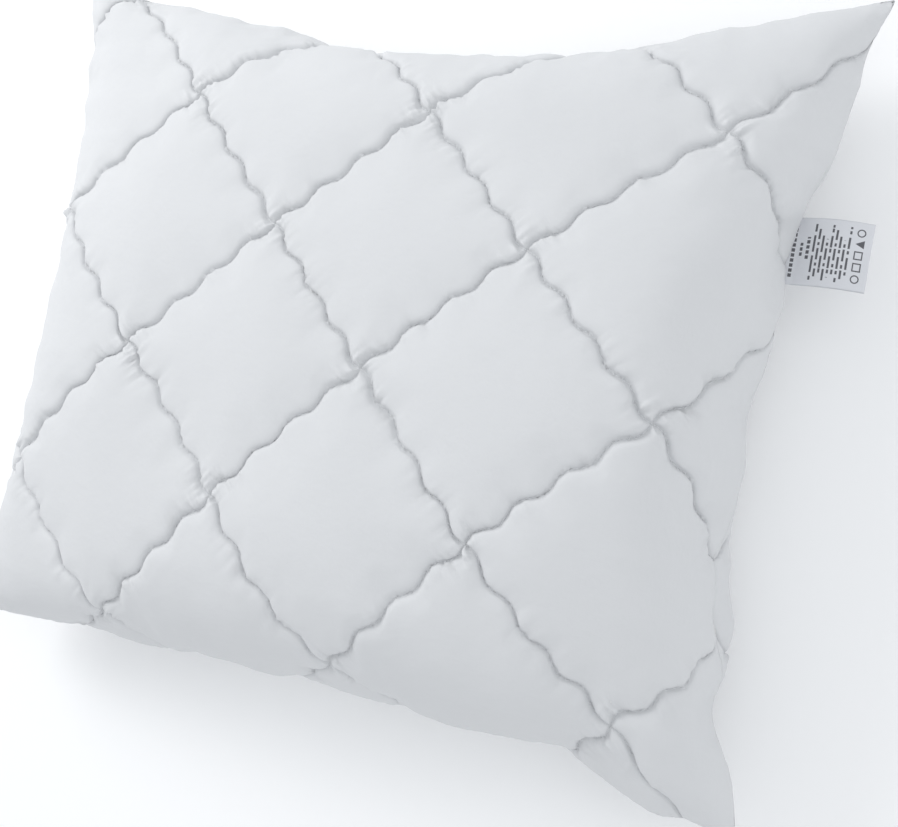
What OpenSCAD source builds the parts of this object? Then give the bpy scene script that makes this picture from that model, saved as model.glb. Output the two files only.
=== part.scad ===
// Quilted bed pillow, lying on its back. Millimetres, +Z up, +X to the side that carries the care
// label. The origin is on the face it rests on, under the middle of its four corners.

/* [Pillow] */
// Width from corner to corner
pillow_w = 775; // [500:5:900]
// Depth from corner to corner
pillow_d = 668; // [400:4:800]
// Rise of the front panel's crown above the seam
front_rise = 130; // [70:1:150]
// Height of the seam above the surface below
seam_height = 70; // [66:1:100]
// How deep the surface below presses the crown of the back panel in
rest_press = 12; // [4:1:30]

/* [Edges] */
// Inward draw of the far edge at its middle
far_draw = 52; // [0:1:80]
// Inward draw of the near edge at its middle
near_draw = 22; // [0:1:80]
// Inward draw of the label edge at its middle
label_edge_draw = 40; // [0:1:80]
// Inward draw of the plain edge at its middle
plain_edge_draw = 38; // [0:1:80]

/* [Panel layers] */
// Thickness of the cover cloth
cover_t = 0.6; // [0.4:0.1:1.5]
// Thickness of the wadding where it is loose
wadding_t = 6; // [3:0.5:12]
// Thickness of the wadding where the seam presses it
wadding_pressed_t = 0.9; // [0.5:0.1:1.5]
// Thickness of the lining
lining_t = 0.5; // [0.3:0.1:1]
// Width of the panel edges turned in at the seam
seam_allowance = 12; // [10:0.5:20]

/* [Thread] */
// Diameter of the sewing thread, drawn thicker than real
thread_d = 0.8; // [0.5:0.1:1.2]
// Distance of the seam thread from the seam's outer edge
seam_thread_inset = 6; // [5.5:0.5:8]
// Thickness of the overlock binding over the turned-in edges
overlock_t = 0.8; // [0.5:0.1:1.5]
// Length of the opening in the plain edge that was sewn shut after filling
filling_gap = 280; // [150:10:350]

/* [Quilting] */
// Flat cut width of a panel
cut_w = 800; // [600:10:950]
// Flat cut depth of a panel
cut_d = 700; // [500:10:850]
// Half of a quilted diamond's diagonal, on the flat panel
diamond_half = 126; // [90:1:160]
// Waves of the stitch line along one side of a diamond
waves_per_side = 4; // [2:1:6]
// Sideways swing of the stitch line
wave_swing = 3.5; // [0:0.5:6]
// Place of one crossing, to the right of the panel's middle
crossing_x = 50; // [-60:1:60]
// Place of the same crossing, beyond the panel's middle
crossing_y = -40; // [-60:1:60]
// Distance from the panel's cut edge at which the stitch lines end
quilt_margin = 18; // [15:1:40]

/* [Care label] */
// Width of the label along the seam
label_w = 56; // [30:1:70]
// Length of the label out of the seam
label_len = 63; // [30:1:64]
// Thickness of the label ribbon
ribbon_t = 0.35; // [0.2:0.05:0.6]
// Height of the label's fold at its free end
fold_h = 3.2; // [1.6:0.1:6]
// Distance of the label's middle from the pillow's middle
label_y = 129; // [-200:1:200]
// Length of ribbon that stands out of the seam before it bends
label_stub = 3; // [2:0.5:6]
// Clear gap at the bend, wide enough for the folded ribbon to turn either way
bend_gap = 2; // [1.8:0.1:3]

/* [Hidden] */

// Grid of a panel: cells across and cells deep, closer together towards the seam.
cells_x = 22;
cells_y = 20;
function spread(s) = 0.5 * s + 0.5 * sin(90 * s);
across = [for (i = [0:cells_x]) spread(2 * i / cells_x - 1)];
deep = [for (j = [0:cells_y]) spread(2 * j / cells_y - 1)];

// Crown of the panels: 0 at the seam, 1 at the middle.
crown_power = 2.4;
crown_edge = 0.5;
function crown(u, v) =
    pow(max(0, (1 - pow(abs(u), crown_power)) * (1 - pow(abs(v), crown_power))), crown_edge);

// Plan of a panel. u and v run from -1 to 1 between its edges, and inset moves the edges inwards.
function plan_x(u, v, inset) =
    u * (pillow_w / 2 - inset - (u > 0 ? label_edge_draw : plain_edge_draw) * (1 - v * v));
function plan_y(u, v, inset) =
    v * (pillow_d / 2 - inset - (v > 0 ? far_draw : near_draw) * (1 - u * u));

// Depth the back panel would have below the seam in the air, before the surface flattens it.
back_drop = seam_height + rest_press;

// Depth of each layer's faces below the panel's outside, loose at the crown and pressed at the seam.
loose = [0, cover_t, cover_t + wadding_t, cover_t + wadding_t + lining_t];
pressed = [0, cover_t, cover_t + wadding_pressed_t, cover_t + wadding_pressed_t + lining_t];
press_fade = 8;
edge_inset_share = 1.9;
function face_inset(k) = edge_inset_share * pressed[k];
stack = pressed[3];

// Height of face k of the front panel and of the back panel.
function front_z(u, v, k) =
    let (c = crown(u, v))
    seam_height + (front_rise - loose[k]) * c + pressed[k] * pow(1 - c, press_fade);
function back_z(u, v, k) =
    let (c = crown(u, v), low = k == 0 ? -cover_t : loose[k])
    max(low, seam_height - (back_drop - loose[k]) * c - pressed[k] * pow(1 - c, press_fade));

function panel_point(u, v, k, front) =
    [plan_x(u, v, face_inset(k)), plan_y(u, v, face_inset(k)),
     front ? front_z(u, v, k) : back_z(u, v, k)];

// Closed walk around the grid's edge, as [across, deep] steps, anticlockwise from above.
rim = concat([for (i = [0:cells_x - 1]) [i, 0]], [for (j = [0:cells_y - 1]) [cells_x, j]],
             [for (i = [cells_x:-1:1]) [i, cells_y]], [for (j = [cells_y:-1:1]) [0, j]]);
rim_n = len(rim);
// Ring of points at an inset from the seam's edge, and at a rise above or below the seam.
function rim_ring(inset, rise) =
    [for (r = rim) let (u = across[r[0]], v = deep[r[1]])
        [plan_x(u, v, inset), plan_y(u, v, inset), seam_height + rise]];

grid_n = (cells_x + 1) * (cells_y + 1);
function at(i, j, base) = base + j * (cells_x + 1) + i;
// Two triangles of a grid cell, split towards the nearest corner, facing up or down.
function cell(i, j, base, up) =
    let (a = at(i, j, base), b = at(i + 1, j, base), c = at(i + 1, j + 1, base), d = at(i, j + 1, base),
         rising = (2 * i + 1 - cells_x) * (2 * j + 1 - cells_y) > 0,
         pair = rising ? [[a, b, c], [a, c, d]] : [[a, b, d], [b, c, d]])
    up ? [for (t = pair) [t[2], t[1], t[0]]] : pair;
function cells(base, up) =
    [for (j = [0:cells_y - 1], i = [0:cells_x - 1]) each cell(i, j, base, up)];
// Strip of triangles between two rings of points, given as lists of point numbers.
function strip(one, two, flip) =
    [for (k = [0:rim_n - 1])
        let (n = (k + 1) % rim_n, a = one[k], b = one[n], c = two[n], d = two[k])
        each flip ? [[a, b, c], [a, c, d]] : [[c, b, a], [d, c, a]]];
function grid_rim(base) = [for (r = rim) at(r[0], r[1], base)];
function ring_rim(base) = [for (k = [0:rim_n - 1]) base + k];

// One layer of a panel: a thin crowned shell with its edge turned in at the seam.
module layer(k, front) {
    side = front ? 1 : -1;
    outer = [for (v = deep, u = across) panel_point(u, v, k, front)];
    inner = [for (v = deep, u = across) panel_point(u, v, k + 1, front)];
    turn_out = rim_ring(seam_allowance, side * pressed[k]);
    turn_in = rim_ring(seam_allowance, side * pressed[k + 1]);
    rings = [grid_rim(0), ring_rim(2 * grid_n), ring_rim(2 * grid_n + rim_n), grid_rim(grid_n)];
    polyhedron(
        points = concat(outer, inner, turn_out, turn_in),
        faces = concat(cells(0, front), cells(grid_n, !front),
                       [for (r = [0:2]) each strip(rings[r], rings[r + 1], front)]));
}

// The back cover's shell reaches just below the surface it rests on, and is cut off flat there.
module floor_cut() {
    difference() {
        children();
        translate([-pillow_w / 2, -pillow_d / 2, -10]) cube([pillow_w, pillow_d, 10]);
    }
}

// Loose fibres, one closed body between the two linings and clear of the turned-in edges.
filling_inset = seam_allowance + overlock_t + 2;
module filling_body() {
    upper = [for (v = deep, u = across) [plan_x(u, v, filling_inset), plan_y(u, v, filling_inset),
        seam_height + (front_rise - loose[3]) * crown(u, v)]];
    lower = [for (v = deep, u = across) [plan_x(u, v, filling_inset), plan_y(u, v, filling_inset),
        max(loose[3], seam_height - (back_drop - loose[3]) * crown(u, v))]];
    // The two faces share the points of the rim.
    on_rim = function (q) let (i = q % (cells_x + 1), j = floor(q / (cells_x + 1)))
        i == 0 || j == 0 || i == cells_x || j == cells_y;
    under = [for (t = cells(grid_n, false)) [for (q = t) on_rim(q - grid_n) ? q - grid_n : q]];
    polyhedron(points = concat(upper, lower), faces = concat(cells(0, true), under));
}

// Tube of straight-sided rings through points, closed at its ends or into a loop.
function unit(a) = a / norm(a);
module tube(path, d, sides, up, loop = false, squash = [1, 1]) {
    n = len(path);
    rings = [for (i = [0:n - 1])
        let (before = loop ? path[(i + n - 1) % n] : path[max(i - 1, 0)],
             after = loop ? path[(i + 1) % n] : path[min(i + 1, n - 1)],
             along = unit(after - before),
             out = unit(up[i] - along * (up[i] * along)),
             side = cross(along, out))
        for (k = [0:sides - 1])
            let (turn = 360 * (k + 0.5) / sides - 90)
            path[i] + d / 2 * (side * cos(turn) * squash[0] + out * sin(turn) * squash[1])];
    walls = [for (i = [0:(loop ? n - 1 : n - 2)], k = [0:sides - 1])
        let (m = (i + 1) % n, a = i * sides + k, b = i * sides + (k + 1) % sides,
             c = m * sides + (k + 1) % sides, e = m * sides + k)
        each [[a, b, c], [a, c, e]]];
    caps = loop ? [] : [[for (k = [sides - 1:-1:0]) k], [for (k = [0:sides - 1]) (n - 1) * sides + k]];
    polyhedron(points = rings, faces = concat(walls, caps));
}

// Point and outward direction on the panel's outer facets above flat point [x, y] of the cut panel.
function below(list, a) = min(len([for (q = list) if (q <= a) 1]), len(list) - 1) - 1;
function on_panel(x, y, front) =
    let (u = x / (cut_w / 2), v = y / (cut_d / 2),
         i = below(across, u), j = below(deep, v),
         a = panel_point(across[i], deep[j], 0, front),
         b = panel_point(across[i + 1], deep[j], 0, front),
         c = panel_point(across[i + 1], deep[j + 1], 0, front),
         d = panel_point(across[i], deep[j + 1], 0, front),
         s = (u - across[i]) / (across[i + 1] - across[i]),
         t = (v - deep[j]) / (deep[j + 1] - deep[j]),
         rising = (2 * i + 1 - cells_x) * (2 * j + 1 - cells_y) > 0,
         edges = rising ? (s > t ? [b - a, c - b] : [c - d, d - a])
                        : (s + t < 1 ? [b - a, d - a] : [c - d, c - b]),
         foot = rising ? a + s * edges[0] + t * edges[1]
                       : (s + t < 1 ? a + s * edges[0] + t * edges[1]
                                    : c - (1 - s) * edges[0] - (1 - t) * edges[1]),
         out = unit(cross(edges[0], edges[1])) * (front ? 1 : -1))
    [[foot[0], foot[1], max(foot[2], 0)], out];

// Stitch lines: two families of parallel waved lines that cross in diamonds.
side_len = diamond_half * sqrt(2);
wave_len = side_len / waves_per_side;
steps_per_wave = 4;
half_w = cut_w / 2 - quilt_margin;
half_d = cut_d / 2 - quilt_margin;
// lean is 1 for lines that rise to the right and -1 for lines that fall to the right. A run of line
// number k lies between two distances along it, counted from the named crossing.
function run_points(lean, k, from, to) =
    let (count = ceil((to - from) / (wave_len / steps_per_wave)))
    [for (q = [0:count])
        let (s = from + (to - from) * q / count,
             w = wave_swing * sin(360 * s / wave_len),
             x = crossing_x + (k * diamond_half + s / sqrt(2)) - lean * w / sqrt(2),
             y = crossing_y + lean * (s / sqrt(2) - k * diamond_half) + w / sqrt(2))
        if (abs(x) <= half_w && abs(y) <= half_d) [x, y]];
lines_each_way = 4;
shortest_run = 4;
reach = ceil((cut_w + cut_d) / side_len);
crossing_gap = thread_d * 1.5;
module stitch_run(flat, front) {
    if (len(flat) >= shortest_run) {
        places = [for (q = flat) on_panel(q[0], q[1], front)];
        middles = [for (p = places) p[0] + p[1] * thread_d / 2];
        // Where the panel lies flat the thread is bedded in it, no lower than the panel.
        tube([for (m = middles) [m[0], m[1], max(m[2], thread_d / 2)]], thread_d, 3,
             [for (p = places) p[1]]);
    }
}
// The falling lines stop just short of the rising lines, which they cross once in every side length.
module quilting(front) {
    for (k = [-lines_each_way:lines_each_way]) {
        stitch_run(run_points(1, k, -reach * side_len, reach * side_len), front);
        for (m = [-reach:reach - 1])
            stitch_run(run_points(-1, k, m * side_len + crossing_gap,
                                  (m + 1) * side_len - crossing_gap), front);
    }
}

// One row of the seam's thread, at a rise above or below the seam.
thread_spread = 1.2;
module seam_row(rise) {
    path = rim_ring(seam_thread_inset, rise);
    tube(path, thread_d, 4, [for (p = path) [0, 0, 1]], loop = true, squash = [thread_spread, thread_spread]);
}

module front_cover() { color("white") layer(0, true); }
module front_wadding() { color("ivory") layer(1, true); }
module front_lining() { color("gainsboro") layer(2, true); }
module back_cover() { color("white") floor_cut() layer(0, false); }
module back_wadding() { color("ivory") layer(1, false); }
module back_lining() { color("gainsboro") layer(2, false); }
module front_quilting_thread() { color("whitesmoke") quilting(true); }
module back_quilting_thread() { color("whitesmoke") quilting(false); }
module fibre_filling() { color("floralwhite") filling_body(); }

// The lockstitch through all six turned-in layers shows as one row above and one row below them.
row_lift = stack + thread_d * 0.6;
module edge_seam_thread() {
    color("whitesmoke") for (side = [-1, 1]) seam_row(side * row_lift);
}

// Overlock binding around the free edge of the turned-in layers.
module overlock_thread() {
    inner = seam_allowance + overlock_t;
    loops = [rim_ring(seam_allowance, -stack), rim_ring(inner, -stack),
             rim_ring(inner, stack), rim_ring(seam_allowance, stack)];
    color("whitesmoke") polyhedron(
        points = concat(loops[0], loops[1], loops[2], loops[3]),
        faces = [for (r = [0:3]) each strip(ring_rim(r * rim_n), ring_rim(((r + 1) % 4) * rim_n), true)]);
}

// Row of topstitching that shut the filling gap in the plain edge, on the outside beside the seam.
stitch_len = 9;
stitch_share = 0.6;
closing_inset = 5;
module closing_stitch() {
    count = floor(filling_gap / stitch_len);
    start_x = -cut_w / 2 + closing_inset;
    color("whitesmoke") for (q = [0:count - 1]) {
        y0 = (q - count / 2) * stitch_len;
        ends = [for (e = [0, stitch_share]) on_panel(start_x, y0 + e * stitch_len, true)];
        tube([for (p = ends) p[0] + p[1] * thread_d / 2], thread_d, 4, [for (p = ends) p[1]]);
    }
}

// The edge curves across the label's width. Its ribbon bends clear of the furthest point of the edge.
label_edges = [for (side = [-1, 1]) plan_x(1, (label_y + side * label_w / 2) / (pillow_d / 2), 0)];
edge_x = max(label_edges);
bend_x = edge_x + label_stub;
root_start = edge_x - seam_allowance + 1;
module label_root() {
    color("white") translate([root_start, label_y - label_w / 2, seam_height - ribbon_t])
        cube([bend_x - root_start, label_w, 2 * ribbon_t]);
}

// Folded ribbon seen along the seam: two layers that spread from the bend to a round fold.
fold_steps = 12;
function loop_side(r, x_end, start) =
    concat([[0, -start]],
           [for (q = [0:fold_steps]) let (a = -90 + 180 * q / fold_steps) [x_end + r * cos(a), r * sin(a)]],
           [[0, start]]);
module care_label() {
    free_len = label_len - label_stub - bend_gap;
    r = fold_h / 2;
    color("white") translate([bend_x + bend_gap, label_y + label_w / 2, seam_height])
        rotate([90, 0, 0]) linear_extrude(height = label_w) difference() {
            polygon(loop_side(r, free_len - r, ribbon_t + 0.1));
            translate([ribbon_t * 2, 0]) polygon(loop_side(r - ribbon_t, free_len - r - ribbon_t * 2, 0.1));
        }
}

front_cover();
front_wadding();
front_lining();
front_quilting_thread();
back_cover();
back_wadding();
back_lining();
back_quilting_thread();
fibre_filling();
edge_seam_thread();
overlock_thread();
closing_stitch();
label_root();
care_label();
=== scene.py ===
# %% [markdown]
# # A quilted bed pillow
# The pillow is a bag of two quilted panels, filled with loose fibre, that lies on its back. The packed
# design gives its sizes and the hinge of its care label. This script gives it its cloth: the bag is
# blown up by a cloth simulation, the quilting is sewn down by a second one, and the threads, the inner
# layers and the label follow the shape that comes out. Lengths are in metres.

from math import cos, pi, radians, sin, sqrt

import bmesh
import bpy
import numpy as np
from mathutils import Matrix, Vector
from mathutils.kdtree import KDTree


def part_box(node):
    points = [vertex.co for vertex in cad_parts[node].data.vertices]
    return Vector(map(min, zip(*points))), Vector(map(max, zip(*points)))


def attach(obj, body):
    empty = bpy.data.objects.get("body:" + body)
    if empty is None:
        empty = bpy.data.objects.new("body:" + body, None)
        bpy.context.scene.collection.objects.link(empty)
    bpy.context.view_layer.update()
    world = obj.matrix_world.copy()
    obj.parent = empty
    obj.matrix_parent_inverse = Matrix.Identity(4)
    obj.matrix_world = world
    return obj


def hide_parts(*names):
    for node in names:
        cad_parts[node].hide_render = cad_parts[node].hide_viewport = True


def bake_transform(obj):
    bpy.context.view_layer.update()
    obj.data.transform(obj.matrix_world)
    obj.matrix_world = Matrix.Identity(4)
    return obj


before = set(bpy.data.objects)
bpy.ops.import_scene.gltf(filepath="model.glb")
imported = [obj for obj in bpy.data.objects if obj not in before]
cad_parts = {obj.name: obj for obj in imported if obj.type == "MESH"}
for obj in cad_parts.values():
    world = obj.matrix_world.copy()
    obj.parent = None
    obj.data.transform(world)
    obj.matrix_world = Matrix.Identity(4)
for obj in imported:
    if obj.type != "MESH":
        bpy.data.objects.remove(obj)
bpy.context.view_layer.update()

# %% [markdown]
# ## The flat pattern
# Each panel is cut flat, 80 by 70 cm, from cloth that was quilted beforehand. The stitch lines run both
# ways at 45 degrees and wave from side to side. Everything on a panel is placed by its flat point
# (x, y), so that cloth, thread and wadding agree. What the design gives is read from the parts of model.glb.

# %% Sizes
CUT_W = 0.80
CUT_D = 0.70
EDGE_X = CUT_W / 2
EDGE_Y = CUT_D / 2
cover_low, cover_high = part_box("front_cover")
HALF_W = cover_high[0]
HALF_D = cover_high[1]
CROWN_Z = cover_high[2]
SEAM_Z = (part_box("label_root")[0][2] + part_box("label_root")[1][2]) / 2
DRAWS = {"label": 0.040, "plain": 0.038, "far": 0.052, "near": 0.022}
HALF_DIAMOND = 0.126
SIDE = HALF_DIAMOND * sqrt(2)
WAVE = SIDE / 4
SWING = 0.0035
CROSS_X = 0.050
CROSS_Y = -0.040
print("half sizes", round(HALF_W, 4), round(HALF_D, 4), "crown", round(CROWN_Z, 4), "seam", round(SEAM_Z, 4))


# %% Stitch lines on the flat pattern
def swing(s):
    """Sideways swing of a stitch line at distance s along it."""
    return SWING * np.sin(2 * pi * s / WAVE)


def lattice(x, y):
    """Distances of a flat point from the named crossing, along the rising and the falling lines."""
    return ((x - CROSS_X) + (y - CROSS_Y)) / sqrt(2), ((x - CROSS_X) - (y - CROSS_Y)) / sqrt(2)


def from_lattice(a, b):
    return CROSS_X + (a + b) / sqrt(2), CROSS_Y + (a - b) / sqrt(2)


def line_gaps(x, y):
    """Signed distances to the nearest falling line and to the nearest rising line."""
    a, b = lattice(x, y)
    to_falling = a - swing(b)
    to_rising = b + swing(a)
    return to_falling - SIDE * np.round(to_falling / SIDE), to_rising - SIDE * np.round(to_rising / SIDE)


def line_distance(x, y):
    falling, rising = line_gaps(x, y)
    return np.minimum(np.abs(falling), np.abs(rising))


def margin(x, y):
    """Distance of a flat point from the nearest cut edge."""
    return np.minimum(EDGE_X - np.abs(x), EDGE_Y - np.abs(y))


# %% [markdown]
# ## Blowing up the bag
# A filled pillow isn't a formula. Its corners stay put, its edges draw in, and the spare cloth gathers
# along the seam. So two flat panels are joined at their edges and blown up by a little pressure, and the
# simulation stops as soon as the bag is thick enough. The grid is coarse, because this step only has to
# find the large form, and it takes a few seconds.

# %% New meshes and objects
def new_mesh(name, points, faces):
    mesh = bpy.data.meshes.new(name)
    mesh.from_pydata(np.asarray(points).tolist(), [], [[int(i) for i in face] for face in faces])
    return mesh


def placed(name, data):
    """A new object, put in the scene."""
    piece = bpy.data.objects.new(name, data)
    bpy.context.scene.collection.objects.link(piece)
    return piece


def evaluated(piece):
    return piece.evaluated_get(bpy.context.evaluated_depsgraph_get())


# %% A cloth simulation, run on plain arrays
FIRST_LOOK = 8


def simulate(name, points, faces, frames, pressure, growth=0.0, pins=None, thickness=None, **settings):
    """Runs a cloth simulation and gives its points back. A given thickness stops it early."""
    mesh = new_mesh(name, points, faces)
    piece = placed(name, mesh)
    if pins is not None:
        held = piece.vertex_groups.new(name="held")
        for weight in np.unique(np.round(pins, 2)):
            if weight > 0:
                held.add(np.nonzero(np.round(pins, 2) == weight)[0].tolist(), float(weight), "REPLACE")
    cloth = piece.modifiers.new("Cloth", "CLOTH")
    rules = cloth.settings
    for key, value in settings.items():
        setattr(rules, key, value)
    rules.use_pressure = True
    rules.uniform_pressure_force = pressure
    rules.shrink_min = -growth
    rules.effector_weights.gravity = 0
    if pins is not None:
        rules.vertex_group_mass = "held"
        rules.pin_stiffness = 1.0
    cloth.collision_settings.use_collision = False
    cloth.point_cache.frame_start = 1
    cloth.point_cache.frame_end = frames
    place = np.zeros(len(points) * 3)
    for step in range(1, frames + 1):
        bpy.context.scene.frame_set(step)
        if step == frames or (thickness and step > FIRST_LOOK):
            evaluated(piece).data.vertices.foreach_get("co", place)
            if thickness and np.ptp(np.percentile(place.reshape(-1, 3)[:, 2], (1, 99))) > thickness:
                break
    bpy.data.objects.remove(piece)
    bpy.data.meshes.remove(mesh)
    bpy.context.scene.frame_set(1)
    print(name, "ran", step, "frames")
    return place.reshape(-1, 3)


# %% The bag's coarse grid
GRID_W = 66
GRID_D = 58
BAG_GAP = 0.02
BAG_THICKNESS = 0.195
BAG_FRAMES = 40
BAG_PRESSURE = 3.0
BAG_CLOTH = {"quality": 6, "mass": 0.05, "tension_stiffness": 25, "compression_stiffness": 15,
             "shear_stiffness": 6, "bending_stiffness": 1.5, "tension_damping": 10, "compression_damping": 10,
             "shear_damping": 5, "bending_damping": 1, "air_damping": 2}


def crown(u, v, power=2.4, edge=0.5):
    """Plain crowned form: 0 at the seam and 1 in the middle."""
    return np.clip((1 - np.abs(u) ** power) * (1 - np.abs(v) ** power), 0, 1) ** edge


def grid_cells(grid):
    """The four corners of each cell of a grid of point numbers."""
    return np.stack([grid[:-1, :-1], grid[:-1, 1:], grid[1:, 1:], grid[1:, :-1]], -1).reshape(-1, 4)


def bag():
    """Coarse bag: its points, faces, and the numbers of its front and back points as two grids."""
    columns = np.linspace(-EDGE_X, EDGE_X, GRID_W + 1)
    x, y = np.meshgrid(columns, np.linspace(-EDGE_Y, EDGE_Y, GRID_D + 1))
    front = np.arange(x.size).reshape(x.shape)
    inside = np.zeros(x.shape, bool)
    inside[1:-1, 1:-1] = True
    back = front.copy()
    back[inside] = x.size + np.arange(inside.sum())
    lift = BAG_GAP * crown(x / EDGE_X, y / EDGE_Y)
    upper = np.stack([x, y, lift], -1)
    points = np.vstack([upper.reshape(-1, 3), (upper * (1, 1, -1))[inside]])
    return points, np.vstack([grid_cells(front), grid_cells(back)[:, ::-1]]), front, back


points, faces, front_grid, back_grid = bag()
blown = simulate("bag", points, faces, BAG_FRAMES, BAG_PRESSURE, thickness=BAG_THICKNESS, **BAG_CLOTH)
print("bag", np.round(blown.min(0), 3), np.round(blown.max(0), 3))


# %% [markdown]
# ## The form at its real size
# The simulated bag gives where each flat point comes to lie and how high it stands. Its plan is brought
# to the corners and edges of the design, the front is raised to the crown's height, and the back is set
# down on the surface below, where it turns flat.

# %% Plan and profile of the filled bag
def smoothed(grid, rounds):
    for _ in range(rounds):
        wide = np.pad(grid, ((1, 1), (1, 1), (0, 0)), mode="reflect", reflect_type="odd")
        around = wide[:-2, 1:-1] + wide[2:, 1:-1] + wide[1:-1, :-2] + wide[1:-1, 2:]
        grid = (4 * wide[1:-1, 1:-1] + around) / 8
    return grid


PLAN_ROUNDS = 4
EDGE_ONLY = 4
LEAN_X = 0.20
LEAN_Y = -0.24
FLATTER_ENDS = 0.22
# How far the panels slide in the middle: everywhere, by u, by v, by u times v, and by u squared
SLIDE_X = (0.002, -0.030, 0.007, 0.0, -0.007)
SLIDE_Y = (0.010, 0.006, -0.018, -0.014, -0.009)
front, back = blown[front_grid], blown[back_grid]
form = (front + back) / 2
form[..., 2] = (front[..., 2] - back[..., 2]) / 2
form = smoothed(form, PLAN_ROUNDS)
form[..., 2] /= form[..., 2].max()
corners = np.abs(form[[0, 0, -1, -1], [0, -1, 0, -1], :2]).mean(0)
form[..., 0] *= HALF_W / corners[0]
form[..., 1] *= HALF_D / corners[1]
u = np.linspace(-1, 1, GRID_W + 1)[None, :]
v = np.linspace(-1, 1, GRID_D + 1)[:, None]
middle_y, middle_x = GRID_D // 2, GRID_W // 2
spare = {"label": HALF_W - DRAWS["label"] - form[middle_y, -1, 0],
         "plain": HALF_W - DRAWS["plain"] + form[middle_y, 0, 0],
         "far": HALF_D - DRAWS["far"] - form[-1, middle_x, 1],
         "near": HALF_D - DRAWS["near"] + form[0, middle_x, 1]}
form[..., 0] += np.abs(u) ** EDGE_ONLY * np.where(u > 0, spare["label"], -spare["plain"]) * (1 - v**2)
form[..., 1] += np.abs(v) ** EDGE_ONLY * np.where(v > 0, spare["far"], -spare["near"]) * (1 - u**2)
spread = (1 - u**2) * (1 - v**2)
for axis, (whole, by_x, by_y, by_both, by_square) in enumerate((SLIDE_X, SLIDE_Y)):
    form[..., axis] += spread * (whole + by_x * u + by_y * v + by_both * u * v + by_square * u**2)
form[..., 2] *= 1 + LEAN_X * u + LEAN_Y * v - FLATTER_ENDS * v**2
form[..., 2] /= form[..., 2].max()


# %% Reading the form at any flat point
def read_form(x, y):
    """Plan and profile at flat points, by cubic interpolation between the coarse grid's points."""
    across = np.clip((x / CUT_W + 0.5) * GRID_W, 0, GRID_W)
    deep = np.clip((y / CUT_D + 0.5) * GRID_D, 0, GRID_D)
    i, j = np.minimum(across.astype(int), GRID_W - 1), np.minimum(deep.astype(int), GRID_D - 1)
    wide = np.pad(form, ((1, 1), (1, 1), (0, 0)), mode="reflect", reflect_type="odd")

    def weights(t):
        return [(-t + 2 * t**2 - t**3) / 2, (2 - 5 * t**2 + 3 * t**3) / 2,
                (t + 4 * t**2 - 3 * t**3) / 2, (t**3 - t**2) / 2]

    total = 0
    for n, wx in enumerate(weights(across - i)):
        for m, wy in enumerate(weights(deep - j)):
            total = total + (wx * wy)[:, None] * wide[j + m, i + n]
    return total


# %% [markdown]
# ## A mesh that follows the stitches
# A crease is only crisp where the mesh has edges along it. So the quilting mesh isn't a square grid: its
# rows and columns run along the stitch lines, wave with them, and lie closer together near them. It is
# laid out over the whole lattice and then cut to the panel's rectangle.

# %% The panel's quilting mesh, flat
CELLS = 32
CROWDING = 0.72
WAVE_REACH = 0.028
SNAP = 0.42
LINES = 4
DUST = 0.0006
ON_EDGE = 1e-6
ROUNDING = 1e-9


def ticks():
    """Places of the mesh lines across one family of stitches, crowded towards the stitches."""
    t = np.arange(-LINES * CELLS, LINES * CELLS + 1) / CELLS
    part = t - np.floor(t)
    return SIDE * (t - CROWDING * np.sin(2 * pi * part) / (2 * pi))


def panel_mesh():
    """Flat points and faces of one panel."""
    tick = ticks()
    a, b = np.meshgrid(tick, tick, indexing="ij")

    def near(s):
        return np.exp(-(((s - SIDE * np.round(s / SIDE)) / WAVE_REACH) ** 2))

    x, y = from_lattice(a + swing(b) * near(a), b - swing(a) * near(b))
    step = np.gradient(tick)
    reach = SNAP * (step[:, None] + step[None, :]) / 2
    for grid, edge in ((x, EDGE_X), (y, EDGE_Y)):
        close = np.abs(np.abs(grid) - edge) < reach
        grid[close] = (np.sign(grid) * edge)[close]
    for side_x in (-1, 1):
        for side_y in (-1, 1):
            nearest = np.argmin((x - side_x * EDGE_X) ** 2 + (y - side_y * EDGE_Y) ** 2)
            x.flat[nearest], y.flat[nearest] = side_x * EDGE_X, side_y * EDGE_Y
    number = np.arange(x.size).reshape(x.shape)
    quads = grid_cells(number)[:, [0, 3, 2, 1]]
    inside = np.ones(len(quads), bool)
    for grid, edge in ((x.flat[quads], EDGE_X), (y.flat[quads], EDGE_Y)):
        inside &= (grid.min(1) < edge - ROUNDING) & (grid.max(1) > ROUNDING - edge)
    quads = quads[inside]
    used = np.unique(quads)
    shape = bmesh.new()
    made = {i: shape.verts.new((x.flat[i], y.flat[i], 0)) for i in used.tolist()}
    for quad in quads.tolist():
        shape.faces.new([made[i] for i in reversed(quad)])
    for way_x, way_y, edge in ((1, 0, EDGE_X), (-1, 0, EDGE_X), (0, 1, EDGE_Y), (0, -1, EDGE_Y)):
        normal = Vector((way_x, way_y, 0))
        everything = shape.verts[:] + shape.edges[:] + shape.faces[:]
        bmesh.ops.bisect_plane(shape, geom=everything, plane_co=normal * edge, plane_no=normal,
                               clear_outer=True, dist=ON_EDGE)
    bmesh.ops.dissolve_degenerate(shape, dist=DUST, edges=shape.edges[:])
    bmesh.ops.recalc_face_normals(shape, faces=shape.faces[:])
    shape.faces.ensure_lookup_table()
    if shape.faces[0].normal.z < 0:
        bmesh.ops.reverse_faces(shape, faces=shape.faces[:])
    shape.verts.index_update()
    flat = np.array([vert.co[:2] for vert in shape.verts])
    faces = [[vert.index for vert in face.verts] for face in shape.faces]
    rim = np.array([vert.is_boundary for vert in shape.verts])
    shape.free()
    return flat, faces, rim


flat, panel_faces, rim = panel_mesh()
print("panel mesh", len(flat), "points", len(panel_faces), "faces", int(rim.sum()), "on the rim")


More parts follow.
